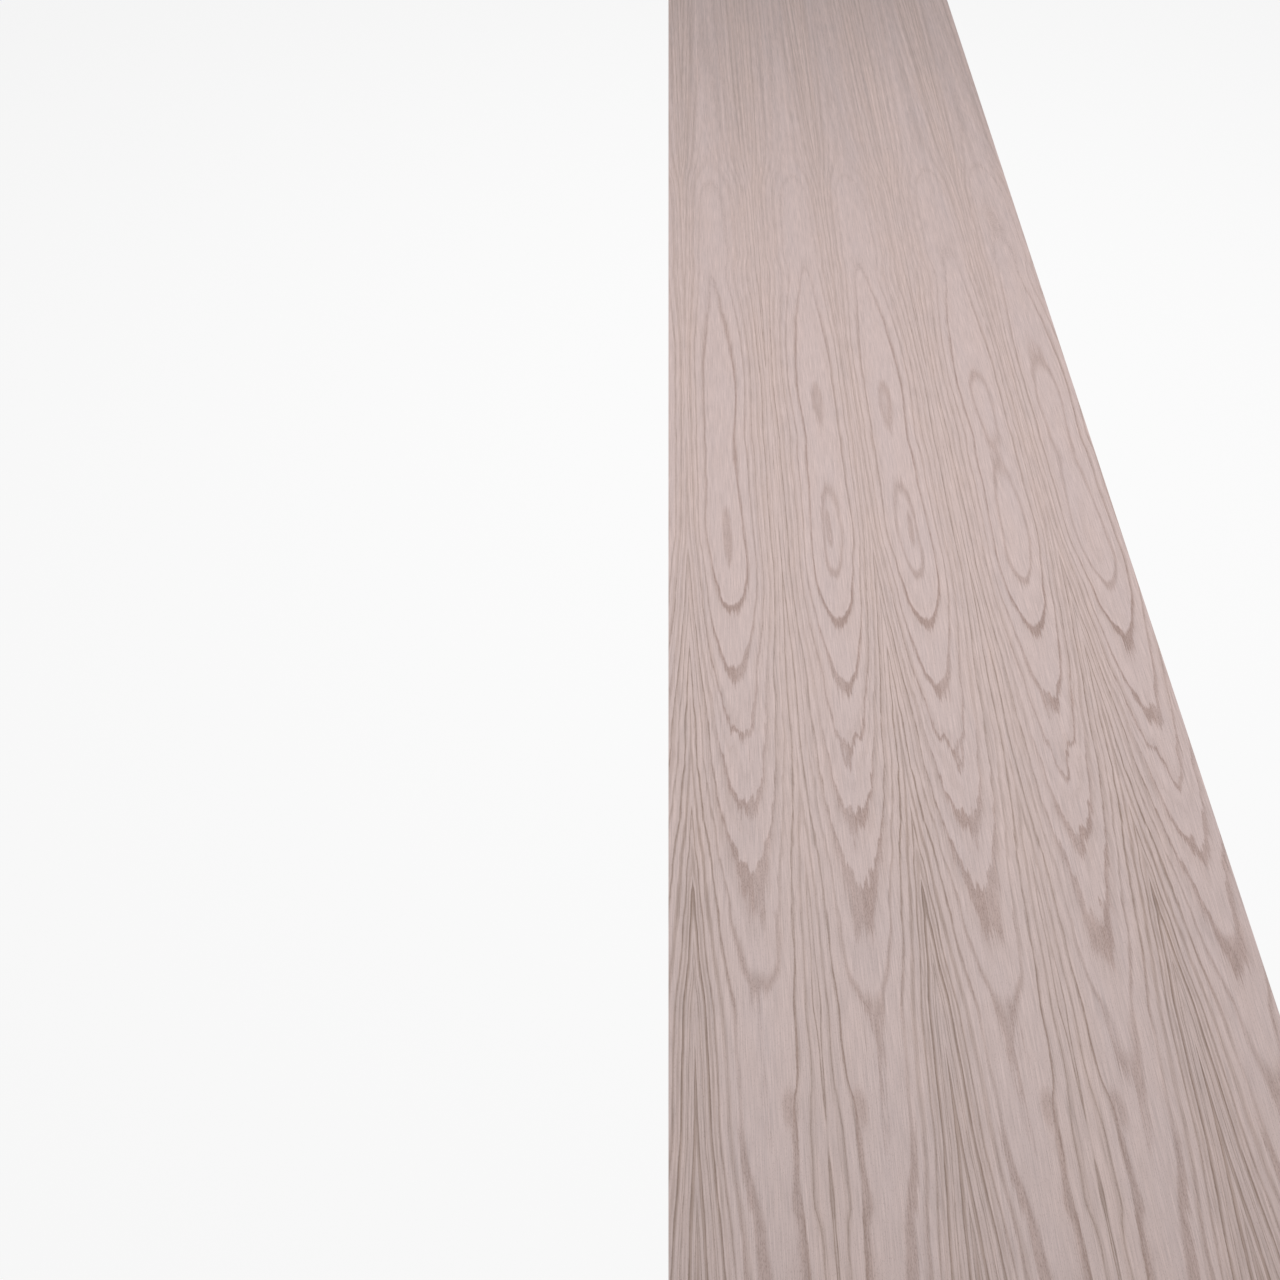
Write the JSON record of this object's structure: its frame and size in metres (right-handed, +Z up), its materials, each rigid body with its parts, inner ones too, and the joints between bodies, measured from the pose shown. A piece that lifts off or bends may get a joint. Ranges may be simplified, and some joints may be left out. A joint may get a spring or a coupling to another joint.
{
  "type": "wood veneer sheet",
  "caption": "Flat, thin sheet of flat-cut oak veneer, spliced edge to edge from book-matched leaves and trimmed square.",
  "frame": {"origin": "centre of the sheet's outline, on its glue face (the underside)", "axes": "+X across the leaves, from leaf_1 to leaf_6; +Y along the grain, away from the picture's camera; +Z up, out of the show face"},
  "size_m": [0.6096, 3.048, 0.0006],
  "materials": {
    "oak_open_face_up": "raw sanded flat-cut red oak, matt, open pored, pale greyish pink with darker growth-ring lines",
    "oak_turned_face_up": "the same oak with the leaf turned over, so its figure mirrors its neighbour's and it reads a shade darker"
  },
  "bodies": {
    "root": {"leaf_1": "oak_open_face_up", "leaf_2": "oak_turned_face_up", "leaf_3": "oak_open_face_up", "leaf_4": "oak_turned_face_up", "leaf_5": "oak_open_face_up", "leaf_6": "oak_turned_face_up"}
  },
  "joints": []
}
